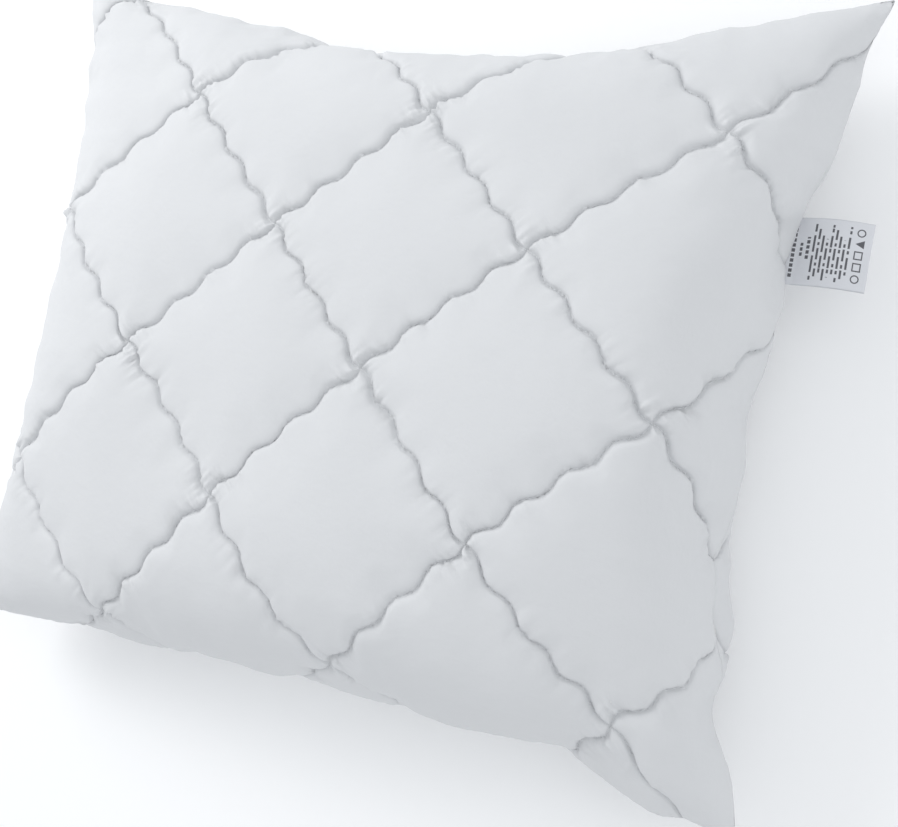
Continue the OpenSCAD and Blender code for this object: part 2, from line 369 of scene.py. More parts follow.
# %% [markdown]
# ## The bag's outline, seen closely
# The seam isn't a smooth line. Each stitch line that runs into it pulls it in a little, the corners are
# pinched into ears, and no two corners lie quite alike. These small moves are made on the seam and fade
# out towards the middle of the panels.

# %% Corners, ears and pinches
# The sides of each corner, the move of its quarter of the plan, and the move of its ear
CORNER_MOVES = (
    ((-1, -1), (-0.004, -0.001), (-0.010, 0)),
    ((1, -1), (-0.005, 0), (0.014, -0.016)),
    ((-1, 1), (0.003, 0), (-0.010, 0.010)),
    ((1, 1), (0.005, 0.004), (0.018, 0.010)),
)
EAR_POWER = 5
PINCH = 0.005
PINCH_WIDTH = 0.016
PINCH_REACH = 0.030
# Small pushes: the flat x and y of the middle, the width, and the push in x, y and z
LOCAL_MOVES = (
    (0.400, -0.262, 0.030, -0.016, 0.0, 0.0),
    (0.330, -0.350, 0.045, 0.004, -0.018, 0.0),
    (0.250, -0.350, 0.020, 0.0, 0.006, 0.0),
    (0.400, -0.150, 0.080, -0.014, 0.0, 0.014),
    (0.050, 0.350, 0.240, 0.0, -0.016, 0.0),
    (0.302, -0.280, 0.060, -0.006, 0.018, 0.0),
    (-0.080, -0.350, 0.150, 0.0, -0.010, 0.0),
)
BACK_BULGE = (0.365, -0.165, 0.085, 0.019, 0.0, 0.0)


def outline_moves(x, y):
    """Plan moves of flat points: corner moves, the pinch of each stitch line, and the small pushes."""
    u, v = x / EDGE_X, y / EDGE_Y
    move = np.zeros((len(x), 2))
    for (side_x, side_y), shift, ear in CORNER_MOVES:
        share = (1 + side_x * u) * (1 + side_y * v) / 4
        move += share[:, None] * np.array(shift) + (share**EAR_POWER)[:, None] * np.array(ear)
    pull = PINCH * np.exp(-((line_distance(x, y) / PINCH_WIDTH) ** 2))
    move[:, 0] -= np.sign(x) * pull * np.exp(-(EDGE_X - np.abs(x)) / PINCH_REACH)
    move[:, 1] -= np.sign(y) * pull * np.exp(-(EDGE_Y - np.abs(y)) / PINCH_REACH)
    for spot in LOCAL_MOVES:
        move += local_move(x, y, spot)[:, :2]
    return move


def local_move(x, y, spot):
    """A small push that is strongest at one flat point and fades around it."""
    at_x, at_y, width, *push = spot
    return np.exp(-((x - at_x) ** 2 + (y - at_y) ** 2) / width**2)[:, None] * np.array(push)


# %% Front and back panels before quilting
FLOOR_SOFT = 0.012
REST_PRESS = 0.012
BULGE_RISE = 4

base = read_form(flat[:, 0], flat[:, 1])
base[:, :2] += outline_moves(flat[:, 0], flat[:, 1])
profile = np.where(rim, 0, np.clip(base[:, 2], 0, 1))
hang = SEAM_Z - (SEAM_Z + REST_PRESS) * profile
front_base = np.column_stack([base[:, :2], SEAM_Z + (CROWN_Z - SEAM_Z) * profile])
resting = (hang + np.sqrt(hang**2 + FLOOR_SOFT**2)) / 2
back_base = np.column_stack([base[:, :2], np.where(rim, SEAM_Z, resting)])
for spot in LOCAL_MOVES:
    lift = local_move(flat[:, 0], flat[:, 1], spot)[:, 2] * (1 - profile)
    front_base[:, 2] += lift
    back_base[:, 2] += lift
back_base += local_move(flat[:, 0], flat[:, 1], BACK_BULGE) * np.minimum(profile * BULGE_RISE, 1)[:, None]


# %% [markdown]
# ## Sewing the quilting down
# Now both panels are one closed bag of fine cloth. Its stitch lines are pinned a little below the form,
# the cloth is grown by a few parts in a thousand, and pressure blows it up between the lines. The
# diamonds crown, and where the waved lines hold the spare cloth back it puckers by itself.

# %% Joining the panels and finding their normals
back_number = np.arange(len(flat))
back_number[~rim] = len(flat) + np.arange((~rim).sum())
both_flat = np.vstack([flat, flat[~rim]])
both_faces = panel_faces + [[int(back_number[i]) for i in reversed(face)] for face in panel_faces]


def point_normals(points, faces):
    """Area-weighted normals of a mesh's points."""
    total = np.zeros_like(points)
    for sides in {len(face) for face in faces}:
        group = np.array([face for face in faces if len(face) == sides])
        arm = [points[group[:, k]] - points[group[:, 0]] for k in range(sides)]
        area = np.zeros((len(group), 3))
        for k in range(1, sides - 1):
            area += np.cross(arm[k], arm[k + 1])
        for k in range(sides):
            np.add.at(total, group[:, k], area)
    return total / np.maximum(np.linalg.norm(total, axis=1), 1e-12)[:, None]


# %% The quilting simulation
SEWN_DEPTH = 0.0030
SEWN_WIDTH = 0.004
ON_LINE = 0.0004
SEAM_HOLD = 0.6
GROWTH = 0.0038
FREE_EDGE = 0.005
LINE_FADE = 0.04
QUILTING_FRAMES = 18
QUILTING_PRESSURE = 6.0
QUILTING_CLOTH = {"quality": 4, "mass": 0.05, "tension_stiffness": 30, "compression_stiffness": 10,
                  "shear_stiffness": 5, "bending_stiffness": 0.5, "tension_damping": 3,
                  "compression_damping": 3, "shear_damping": 1.5, "bending_damping": 1, "air_damping": 1}

both_base = np.vstack([front_base, back_base[~rim]])
gap = line_distance(*both_flat.T)
sewn = SEWN_DEPTH * np.exp(-((gap / SEWN_WIDTH) ** 2)) * np.clip(margin(*both_flat.T) / LINE_FADE, 0, 1)
start = both_base - point_normals(both_base, both_faces) * sewn[:, None]
start[:, 2] = np.maximum(start[:, 2], 0)
pins = np.where((gap < ON_LINE) & (margin(*both_flat.T) > FREE_EDGE), 1.0, 0.0)
pins[: len(flat)][rim] = SEAM_HOLD
quilted = simulate("quilting", start, both_faces, QUILTING_FRAMES, QUILTING_PRESSURE, growth=GROWTH,
                   pins=pins, **QUILTING_CLOTH)
quilted[:, 2] = np.maximum(quilted[:, 2], 0)
print("quilted", np.round(quilted.min(0), 4), np.round(quilted.max(0), 4))
front_points = quilted[: len(flat)]
back_points = quilted[back_number]


# %% [markdown]
# ## Fine shape of the cloth
# One round of subdivision smooths the simulated cloth. What is smaller than the mesh that was simulated
# is then worked out from the flat pattern: the sharp dip under each thread, the little pleats that stand
# across it where the thread has gathered the cloth, the groove of the seam, and slow, shallow dents.

# %% Smooth, repeatable noise
def waves(seed, count, shortest, longest):
    """A sum of sine waves of random direction, length and phase. It gives a function of flat points."""
    random = np.random.default_rng(seed)
    length = np.exp(random.uniform(np.log(shortest), np.log(longest), count))
    angle = random.uniform(0, 2 * pi, count)
    phase = random.uniform(0, 2 * pi, count)
    size = length / length.mean()

    def value(x, y):
        total = 0
        for k in range(count):
            along = (x * cos(angle[k]) + y * sin(angle[k])) / length[k]
            total = total + size[k] * np.sin(2 * pi * along + phase[k])
        return total / sqrt(count)

    return value


# %% Fine relief of a panel
CREASE_DEPTH = 0.0030
CREASE_WIDTH = 0.0013
PLEAT_HEIGHT = 0.0015
PLEAT_AT = 0.0042
DENT = 0.0012
GATHER = 0.0016
GATHER_REACH = 0.045
GROOVE = 0.0028
GROOVE_WIDTH = 0.0026
PLEAT_LENGTHS = (0.0063, 0.0081, 0.0104, 0.0135)
STRETCH_LENGTHS = (0.071, 0.118, 0.203)
RELIEF_FADE = 0.012
RIM_FADE = 0.003
DRAWN_OUT = 0.05
FRONT_SEED = 11
BACK_SEED = 12


def pleats(s, seed):
    """Height of the pleats along a stitch line: short waves, strong in some stretches, gone in others."""
    random = np.random.default_rng(seed)
    total, strength = [sum(np.sin(2 * pi * s / length + random.uniform(0, 2 * pi)) for length in lengths)
                       for lengths in (PLEAT_LENGTHS, STRETCH_LENGTHS)]
    return total / 2 * np.clip(0.45 + 0.35 * strength, 0.05, 1.3)


def relief(x, y, seed):
    """Height of a panel's fine shape above the simulated cloth."""
    falling, rising = line_gaps(x, y)
    a, b = lattice(x, y)
    edge = margin(x, y)
    fade = np.clip(edge / RELIEF_FADE, 0, 1)
    depth = np.minimum(np.abs(falling), np.abs(rising))
    height = -CREASE_DEPTH * np.exp(-depth / CREASE_WIDTH) * (0.4 + 0.6 * fade)
    for family, (gap, s, other) in enumerate(((falling, b, a), (rising, a, b))):
        across = np.abs(gap) / PLEAT_AT
        line = np.round(other / SIDE)
        for k in np.unique(line):
            for half in (0, 1):
                here = (line == k) & ((gap > 0) == half)
                tuft = pleats(s[here], [seed, family, int(k) + LINES, half])
                height[here] += PLEAT_HEIGHT * tuft * across[here] * np.exp(1 - across[here]) * fade[here]
    height += DENT * waves([seed, 1], count=14, shortest=0.07, longest=0.20)(x, y) * fade
    near_x, near_y = EDGE_X - np.abs(x), EDGE_Y - np.abs(y)
    gathers = waves([seed, 2], count=10, shortest=0.018, longest=0.05)
    height += GATHER * gathers(x * DRAWN_OUT, y) * np.exp(-near_x / GATHER_REACH) * fade
    height += GATHER * gathers(x, y * DRAWN_OUT + 9) * np.exp(-near_y / GATHER_REACH) * fade
    return height * np.clip(edge / RIM_FADE, 0, 1)


def seam_groove(x, y):
    """Inward plan move that sinks the seam between the two panels."""
    draw_x = -np.sign(x) * GROOVE * np.exp(-(EDGE_X - np.abs(x)) / GROOVE_WIDTH)
    draw_y = -np.sign(y) * GROOVE * np.exp(-(EDGE_Y - np.abs(y)) / GROOVE_WIDTH)
    return np.column_stack([draw_x, draw_y, 0 * x])


# %% Subdividing a panel and adding its relief
def mesh_arrays(mesh):
    """Points, faces and the flat point of each point, which the mesh carries as its UV map."""
    points = np.zeros(len(mesh.vertices) * 3)
    mesh.vertices.foreach_get("co", points)
    corner_point = np.zeros(len(mesh.loops), int)
    mesh.loops.foreach_get("vertex_index", corner_point)
    corner_uv = np.zeros(len(mesh.loops) * 2)
    mesh.uv_layers[0].data.foreach_get("uv", corner_uv)
    flat = np.zeros((len(mesh.vertices), 2))
    flat[corner_point] = corner_uv.reshape(-1, 2)
    starts = np.zeros(len(mesh.polygons), int)
    mesh.polygons.foreach_get("loop_start", starts)
    faces = np.split(corner_point, starts[1:])
    return points.reshape(-1, 3), faces, flat


def put_flat_uv(mesh, flat):
    """Writes the flat point of every point as the mesh's UV map, in metres."""
    corner_point = np.zeros(len(mesh.loops), int)
    mesh.loops.foreach_get("vertex_index", corner_point)
    layer = mesh.uv_layers.new(name="flat")
    layer.data.foreach_set("uv", np.asarray(flat)[corner_point].astype(np.float32).ravel())


def subdivided(points, faces, flat):
    mesh = new_mesh("rough", points, faces)
    put_flat_uv(mesh, flat)
    rough = placed("rough", mesh)
    smooth = rough.modifiers.new("Smooth", "SUBSURF")
    smooth.levels = smooth.render_levels = 1
    smooth.uv_smooth = "NONE"
    fine = bpy.data.meshes.new_from_object(evaluated(rough))
    arrays = mesh_arrays(fine)
    bpy.data.objects.remove(rough)
    bpy.data.meshes.remove(fine)
    return arrays


def fine_panel(points, seed, up):
    """The outer surface of one panel: its fine points, faces, flat points and outward normals."""
    fine, fine_faces, fine_flat = subdivided(points, panel_faces, flat)
    normals = point_normals(fine, fine_faces) * (1 if up else -1)
    x, y = fine_flat.T
    fine = fine + normals * relief(x, y, seed)[:, None] + seam_groove(x, y)
    fine[:, 2] = np.maximum(fine[:, 2], 0)
    return fine, fine_faces, fine_flat, normals


front_fine, fine_faces, fine_flat, front_normals = fine_panel(front_points, FRONT_SEED, True)
back_fine, _, _, back_normals = fine_panel(back_points, BACK_SEED, False)
print("fine panel", len(front_fine), "points", len(fine_faces), "faces")


# %% [markdown]
# ## Shells for the layers
# Every layer of a panel is a closed shell between two surfaces that share the same mesh. A layer's depth
# is measured square to the cloth. It is a share of the pillow's thickness where the pillow is thin, so
# the front's layers and the back's keep apart near the corners.

# %% Building pieces
def make_piece(name, points, faces, flat):
    """A smooth mesh piece at the origin, whose UV map holds the flat place of its points in metres."""
    mesh = new_mesh(name, points, faces)
    put_flat_uv(mesh, flat)
    mesh.polygons.foreach_set("use_smooth", [True] * len(mesh.polygons))
    return placed(name, mesh)


def rim_edges(faces):
    """Directed edges of a patch that only one face uses."""
    seen = {(int(a), int(b)) for face in faces for a, b in zip(face, [*face[1:], face[0]])}
    return [(a, b) for a, b in seen if (b, a) not in seen]


def shell(name, upper, lower, faces, flat):
    """Closed piece between two surfaces with the same faces. Points that no face uses are left out."""
    used = np.unique(np.concatenate([np.asarray(face) for face in faces]))
    number = np.zeros(len(upper), int)
    number[used] = np.arange(len(used))
    top = [[int(number[i]) for i in face] for face in faces]
    count = len(used)
    bottom = [[count + i for i in reversed(face)] for face in top]
    sides = [[b, a, count + a, count + b] for a, b in rim_edges(top)]
    return make_piece(name, np.vstack([upper[used], lower[used]]), top + bottom + sides,
                      np.vstack([flat[used], flat[used]]))


# %% Depths of the layers below the outside
COVER = 0.0006
UNDER = 0.0011
WADDING = 0.006
PRESSED = 0.0009
LINING = 0.0005
LOFT_WIDTH = 0.012
LINING_GAP = 0.0002
FILLING_GAP = 0.001
MIDDLE_SHARE = 0.36
INSET = 0.014

coarse_front = front_fine[: len(flat)]
coarse_back = back_fine[: len(flat)]
print("subdivision keeps the first points:", bool(np.allclose(fine_flat[: len(flat)], flat, atol=1e-5)))
thick = np.linalg.norm(coarse_back - coarse_front, axis=1)
loft = PRESSED + (WADDING - PRESSED) * (1 - np.exp(-line_distance(*flat.T) / LOFT_WIDTH))
deepest = UNDER + loft + LINING + FILLING_GAP
fit = np.minimum(1, MIDDLE_SHARE * thick / deepest)


def below(depth, front):
    """The surface this far below the outside, of the front panel or of the back panel."""
    outside, outward = (coarse_front, front_normals) if front else (coarse_back, back_normals)
    return outside - outward[: len(flat)] * (depth * fit)[:, None]


# %% Covers, with their edges turned in along the seam
ALLOWANCE = 0.012
FLAP_GAP = 0.00005
TRIM_START = 0.008
TRIM_LENGTH = 0.06
TRIM_LEAST = 0.08


def corner_trim(place):
    """Share of the seam allowance that is left at flat points of the seam. It is trimmed at the corners."""
    corner = np.hypot(EDGE_X - np.abs(place[:, 0]), EDGE_Y - np.abs(place[:, 1]))
    return np.clip((corner - TRIM_START) / TRIM_LENGTH, TRIM_LEAST, 1)


def cover(name, fine, front):
    """A closed sheet of cloth: the fine outside, the turned edge along the seam, and the inside."""
    way = 1 if front else -1
    outer = [list(map(int, face)) for face in fine_faces]
    inner = [[int(i) for i in reversed(face)] for face in panel_faces]
    if not front:
        outer = [face[::-1] for face in outer]
        inner = [face[::-1] for face in inner]
    inside = below(COVER, front)
    on_edge = np.abs(np.abs(fine_flat) - (EDGE_X, EDGE_Y)) < ON_EDGE
    inward = np.column_stack([-np.sign(fine_flat) * on_edge, np.zeros(len(fine_flat))])
    inside[rim] += inward[: len(flat)][rim] * COVER + np.array([0, 0, way * COVER])
    edges = rim_edges(outer)
    loop = sorted({a for a, _ in edges})
    row = {point: k for k, point in enumerate(loop)}
    turned = fine[loop] + inward[loop] * (ALLOWANCE * corner_trim(fine_flat[loop]))[:, None]
    first, second = len(fine), len(fine) + len(loop)
    third = second + len(loop)
    flap, flap_top = turned + [0, 0, way * FLAP_GAP], turned + [0, 0, way * (FLAP_GAP + COVER)]
    points = np.vstack([fine, flap, flap_top, inside])
    where = np.vstack([fine_flat, fine_flat[loop], fine_flat[loop], flat])
    faces = outer + [[third + i for i in face] for face in inner]
    for a, b in edges:
        faces.append([b, a, first + row[a], first + row[b]])
        faces.append([first + row[b], first + row[a], second + row[a], second + row[b]])
    after = dict(edges)
    for a, _ in edges:
        if a < len(flat):
            middle = after[a]
            end = after[middle]
            faces.append([second + row[end], second + row[middle], second + row[a], third + a, third + end])
    return make_piece(name, points, faces, where)


front_cover_cloth = cover("front_cover_cloth", front_fine, True)
back_cover_cloth = cover("back_cover_cloth", back_fine, False)

# %% Wadding, lining and filling
deep_faces = [face for face in panel_faces if margin(*flat[face].T).min() > INSET]
turned_faces = [face[::-1] for face in deep_faces]
lining_top = UNDER + loft + LINING_GAP


def layer(name, outer, inner, front):
    """A layer of one panel, from one depth to another."""
    return shell(name, below(outer, front), below(inner, front), deep_faces if front else turned_faces, flat)


front_wadding_layer = layer("front_wadding_layer", UNDER, UNDER + loft, True)
front_lining_layer = layer("front_lining_layer", lining_top, lining_top + LINING, True)
back_wadding_layer = layer("back_wadding_layer", UNDER, UNDER + loft, False)
back_lining_layer = layer("back_lining_layer", lining_top, lining_top + LINING, False)
fibre_core = shell("fibre_core", below(deepest, True), below(deepest, False), deep_faces, flat)


# %% [markdown]
# ## Threads
# Every seam is a row of separate stitches. One Geometry Nodes group makes them all: it sets a short,
# arched stitch on each place of a row and turns it along the row and away from the cloth. The places are
# read from the finished cloth, so the thread lies in the creases it makes.

# %% Node trees written as maths
def add(tree, kind, settings, *inputs, out=0, **named):
    """Adds a node: its type, its settings, then its sockets. It gives one output, ready for maths."""
    node = tree.nodes.new(kind)
    for key, value in settings.items():
        setattr(node, key, value)
    sockets = [*zip(node.inputs, inputs), *((node.inputs[key], value) for key, value in named.items())]
    for socket, value in sockets:
        if isinstance(value, Wire):
            tree.links.new(value.socket, socket)
        elif value is not None:
            socket.default_value = value
    return Wire(tree, node.outputs[out])


class Wire:
    """An output socket, so that the maths of a tree can be written as Python expressions."""

    def __init__(self, tree, socket):
        self.tree = tree
        self.socket = socket

    def math(self, operation, *inputs):
        return add(self.tree, "ShaderNodeMath", {"operation": operation}, *inputs)

    def ripple(self, length):
        """A sine wave along the value."""
        return (self * (2 * pi / length)).sine()

    def between(self, low, high):
        return self.above(low) * self.below(high)


for sign, operation in (("add", "ADD"), ("sub", "SUBTRACT"), ("mul", "MULTIPLY"), ("truediv", "DIVIDE")):
    setattr(Wire, f"__{sign}__", lambda self, other, kind=operation: self.math(kind, self, other))
    setattr(Wire, f"__r{sign}__", lambda self, other, kind=operation: self.math(kind, other, self))
for name, operation in (("sine", "SINE"), ("size", "ABSOLUTE"), ("larger", "MAXIMUM"), ("root", "SQRT"),
                        ("above", "GREATER_THAN"), ("below", "LESS_THAN")):
    setattr(Wire, name, lambda self, *others, kind=operation: self.math(kind, self, *others))


# %% The stitch maker
STITCH_CUTS = 4
STITCH_SIDES = 6
LEAST_SIZE = 0.93
MOST_SIZE = 1.05
SIZE_SEED = 5


def stitch_group():
    """Node group: a stitch on every point, turned by the point's own directions."""
    tree = bpy.data.node_groups.new("stitches", "GeometryNodeTree")
    sockets = tree.interface
    for name, kind in (("Places", "Geometry"), ("Length", "Float"), ("Arch", "Float"),
                       ("Thickness", "Float"), ("Material", "Material")):
        sockets.new_socket(name, in_out="INPUT", socket_type="NodeSocket" + kind)
    sockets.new_socket("Thread", in_out="OUTPUT", socket_type="NodeSocketGeometry")
    source = tree.nodes.new("NodeGroupInput")
    places, length, arch, thickness, paint = [Wire(tree, socket) for socket in source.outputs[:5]]
    start, top, end = [add(tree, "ShaderNodeCombineXYZ", {}, length * way, 0.0, arch * rise)
                       for way, rise in ((-0.5, -0.6), (0.0, 1.4), (0.5, -0.6))]
    path = add(tree, "GeometryNodeCurveQuadraticBezier", {}, STITCH_CUTS, start, top, end)
    ring = add(tree, "GeometryNodeCurvePrimitiveCircle", {}, Resolution=STITCH_SIDES, Radius=thickness * 0.5)
    stitch = add(tree, "GeometryNodeCurveToMesh", {}, Curve=path)
    tree.links.new(ring.socket, stitch.socket.node.inputs["Profile Curve"])
    stitch.socket.node.inputs["Fill Caps"].default_value = True
    along, away = [add(tree, "GeometryNodeInputNamedAttribute", {"data_type": "FLOAT_VECTOR"}, name)
                   for name in ("along", "away")]
    turn = add(tree, "FunctionNodeAlignRotationToVector", {"axis": "X"}, Vector=along)
    turn = add(tree, "FunctionNodeAlignRotationToVector", {"axis": "Z", "pivot_axis": "X"},
               Rotation=turn, Vector=away)
    size = add(tree, "FunctionNodeRandomValue", {"data_type": "FLOAT"}, None, None, LEAST_SIZE, MOST_SIZE,
               out=1, Seed=SIZE_SEED)
    row = add(tree, "GeometryNodeInstanceOnPoints", {}, Points=places, Instance=stitch, Rotation=turn,
              Scale=size)
    mesh = add(tree, "GeometryNodeRealizeInstances", {}, row)
    mesh = add(tree, "GeometryNodeSetMaterial", {}, Geometry=mesh, Material=paint)
    result = tree.nodes.new("NodeGroupOutput")
    tree.links.new(mesh.socket, result.inputs[0])
    return tree


STITCHES = stitch_group()


def sew(name, rows, paint, length, thickness, arch):
    """Makes one piece of thread from rows, each of them places with their directions along and away."""
    place, along, away = [np.vstack([row[k] for row in rows]) for k in range(3)]
    mesh = new_mesh(name, place, [])
    for key, value in (("along", along), ("away", away)):
        attribute = mesh.attributes.new(key, "FLOAT_VECTOR", "POINT")
        attribute.data.foreach_set("vector", value.astype(np.float32).ravel())
    carrier = placed(name, mesh)
    maker = carrier.modifiers.new("Stitches", "NODES")
    maker.node_group = STITCHES
    values = {"Length": length, "Arch": arch, "Thickness": thickness, "Material": paint}
    for item in STITCHES.interface.items_tree:
        if item.name in values:
            maker[item.identifier] = values[item.name]
    thread = bpy.data.meshes.new_from_object(evaluated(carrier))
    carrier.modifiers.clear()
    carrier.data = thread
    thread.polygons.foreach_set("use_smooth", [True] * len(thread.polygons))
    print(name, len(place), "stitches", len(thread.polygons), "faces")
    return carrier


# %% Places along a row
AHEAD = 0.001


def run_of(line):
    """The distance of each point of a polyline from its start, along the line."""
    return np.concatenate([[0], np.cumsum(np.linalg.norm(np.diff(line, axis=0), axis=1))])


def unit(vectors):
    return vectors / np.linalg.norm(vectors, axis=1)[:, None]


def spaced(points, pitch, ups):
    """Evenly spaced places along a polyline, with the directions along it and away from the cloth."""
    run = run_of(points)
    count = max(int(run[-1] / pitch), 1)
    at = (np.arange(count) + 0.5) * run[-1] / count

    def read(grid, shift=0):
        return np.column_stack([np.interp(at + shift, run, grid[:, k]) for k in range(3)])

    return read(points), unit(read(points, AHEAD) - read(points, -AHEAD)), unit(read(ups))


# %% Rows of stitches
PITCH = 0.0032
STITCH = 0.0030
THREAD = 0.0006
ON_THREAD = 0.0007
STOP_SHORT = 0.006
ROOM = 0.0025
CLOSING_HALF = 0.14
CLOSING_INSET = 0.006
CLOSING_PITCH = 0.009


def quilting_rows(fine, normals):
    """One row of stitches for each stitch line of a panel."""
    x, y = fine_flat.T
    a, b = lattice(x, y)
    rows = []
    for gap, other, s in ((line_gaps(x, y)[0], a, b), (line_gaps(x, y)[1], b, a)):
        near = (np.abs(gap) < ON_THREAD) & (margin(x, y) > STOP_SHORT)
        for k in np.unique(np.round(other[near] / SIDE)):
            line = np.nonzero(near & (np.round(other / SIDE) == k))[0]
            line = line[np.argsort(s[line])]
            if len(line) > 3:
                rows.append(spaced(fine[line] + normals[line] * THREAD * 0.25, PITCH, normals[line]))
    return rows


def plan_table(points):
    """Table that finds the nearest of some points by plan place."""
    table = KDTree(len(points))
    for k, point in enumerate(points):
        table.insert((point[0], point[1], 0), k)
    table.balance()
    return table


def well_inside(places):
    """True for places that both panels cover with room to spare."""
    room = np.full(len(places), np.inf)
    for table, points, way in ((front_table, front_fine, 1), (back_table, back_fine, -1)):
        for k, (x, y, z) in enumerate(places):
            heights = [way * (points[n][2] - z) for _, n, _ in table.find_n((x, y, 0), 3)]
            room[k] = min(room[k], *heights)
    return room > ROOM


front_table = plan_table(front_fine)
back_table = plan_table(back_fine)


def seam_rows(inset, rise, pitch, turned):
    """Rows above and below the joined edges, at an inset from the seam. Turned stitches lie across them."""
    ring = []
    for side, axis in (((-1, 0), 1), ((0, 1), 0), ((1, 0), 1), ((0, -1), 0)):
        other = 1 - axis
        on_side = np.abs(fine_flat[:, other] - side[other] * (EDGE_X, EDGE_Y)[other]) < ON_EDGE
        points = np.nonzero(on_side)[0]
        points = points[np.argsort(fine_flat[points, axis])]
        points = points[corner_trim(fine_flat[points]) > 0.99]
        line = front_fine[points] - np.array([*side, 0]) * inset
        for way in (1, -1):
            up = np.tile([0, 0, way], (len(line), 1))
            place, along, away = spaced(line + up * rise, pitch, up)
            if turned:
                along = np.tile([*side, 0], (len(place), 1))
            inside = well_inside(place)
            ring.append((place[inside], along[inside], away[inside]))
    return ring


def closing_rows():
    """The short row of stitches near the plain edge that closes the filling gap."""
    table = plan_table(fine_flat)
    points, ups = [], []
    for y in np.linspace(-CLOSING_HALF, CLOSING_HALF, 120):
        near = table.find_n((-EDGE_X + CLOSING_INSET, y, 0), 4)
        weights = np.array([1 / (gap + 1e-5) for _, _, gap in near])
        index = [k for _, k, _ in near]
        points.append(weights @ front_fine[index] / weights.sum())
        ups.append(weights @ front_normals[index] / weights.sum())
    points, ups = np.array(points), np.array(ups)
    return [spaced(points + ups * THREAD * 0.6, CLOSING_PITCH, ups)]


# %% [markdown]
# ## The care label
# The label is a ribbon of white satin folded once. Both ends are sewn into the seam, and the fold stands
# out of it. Beyond a bend near the seam the ribbon bows across its width and arches.

# %% The folded ribbon
label_low, label_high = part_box("care_label")
root_low, root_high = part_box("label_root")
LABEL_Y = (label_low[1] + label_high[1]) / 2
LABEL_W = label_high[1] - label_low[1]
FOLD_X = label_high[0]
ROOT_X = root_low[0]
RIBBON = 0.00035
LOOP = 0.0030
BOW = 0.0045
ARCH = 0.0065
BEND_END = 0.3622
RUN_POINTS = 36
FOLD_POINTS = 14
CROSS_POINTS = 41


def ribbon():
    """The closed ribbon. Its middle line runs out from the seam, round the fold and back."""
    reach = FOLD_X - ROOT_X - LOOP / 2
    out = np.linspace(0, 1, RUN_POINTS)
    turn = np.linspace(0, pi, FOLD_POINTS)[1:-1]
    apart = np.clip((out - 0.10) / 0.6, 0, 1)
    rise = RIBBON * 0.6 + (LOOP / 2 - RIBBON * 0.6) * apart**2 * (3 - 2 * apart)
    flat_run = np.column_stack([ROOT_X + out * reach, rise])
    fold = np.column_stack([ROOT_X + reach + LOOP / 2 * np.sin(turn), LOOP / 2 * np.cos(turn)])
    line = np.vstack([flat_run, fold, (flat_run * (1, -1))[::-1]])
    way = unit(np.gradient(line, axis=0))
    normal = np.column_stack([-way[:, 1], way[:, 0]])
    run = run_of(line)
    across = np.linspace(-0.5, 0.5, CROSS_POINTS)
    bulge = np.clip((line[:, 0] - BEND_END) / (FOLD_X - BEND_END), 0, 1)
    upper, lower, uv = [], [], []
    for t in across:
        bow = BOW * bulge * (cos(pi * t) ** 2 - 0.35 + 0.25 * sin(2.2 * pi * t)) + ARCH * np.sin(pi * bulge)
        y = np.full(len(line), LABEL_Y + t * LABEL_W)
        for surface, side in ((upper, 1), (lower, -1)):
            x, z = (line + normal * side * RIBBON / 2).T
            surface.append(np.column_stack([x, y, SEAM_Z + z + bow]))
        uv.append(np.column_stack([run, np.full(len(line), (t + 0.5) * LABEL_W)]))
    cells = grid_cells(np.arange(len(across) * len(line)).reshape(len(across), -1))
    return shell("care_label_ribbon", np.vstack(upper), np.vstack(lower), cells, np.vstack(uv)), run[-1]


label, ribbon_length = ribbon()
print("ribbon", round(LABEL_W, 4), "wide", round(float(ribbon_length), 4), "long")


# %% [markdown]
# ## Materials
# Cotton, wadding, thread and satin are all worked out from the flat place of the cloth or from its place
# in the object, and hold no pictures.

# %% Painting helpers
def paint(name, color, roughness, **constants):
    """A new material: its tree, its shader and the shader's own constants."""
    material = bpy.data.materials.new(name)
    material.use_nodes = True
    tree = material.node_tree
    tree.nodes.clear()
    shader = add(tree, "ShaderNodeBsdfPrincipled", {}).socket.node
    shader.inputs["Base Color"].default_value = (*color, 1)
    shader.inputs["Roughness"].default_value = roughness
    for key, value in constants.items():
        shader.inputs[key.replace("_", " ")].default_value = value
    surface = tree.nodes.new("ShaderNodeOutputMaterial")
    tree.links.new(shader.outputs[0], surface.inputs["Surface"])
    return material, tree, shader


def flat_place(tree):
    """The flat place of the cloth, in metres: across and along."""
    split = add(tree, "ShaderNodeSeparateXYZ", {}, add(tree, "ShaderNodeTexCoord", {}, out=2))
    return split, Wire(tree, split.socket.node.outputs[1])


def place_noise(tree, scale, detail=3.0, roughness=0.55):
    place = add(tree, "ShaderNodeTexCoord", {}, out=3)
    return add(tree, "ShaderNodeTexNoise", {}, Vector=place, Scale=scale, Detail=detail, Roughness=roughness)


def bump(tree, shader, height, distance, strength=1.0):
    normal = add(tree, "ShaderNodeBump", {}, Strength=strength, Distance=distance, Height=height)
    tree.links.new(normal.socket, shader.inputs["Normal"])


def tint(tree, shader, factor, low, high):
    """Base colour between two colours."""
    mix = tree.nodes.new("ShaderNodeMix")
    mix.data_type = "RGBA"
    tree.links.new(factor.socket, mix.inputs["Factor"])
    mix.inputs[6].default_value = (*low, 1)
    mix.inputs[7].default_value = (*high, 1)
    tree.links.new(mix.outputs[2], shader.inputs["Base Color"])


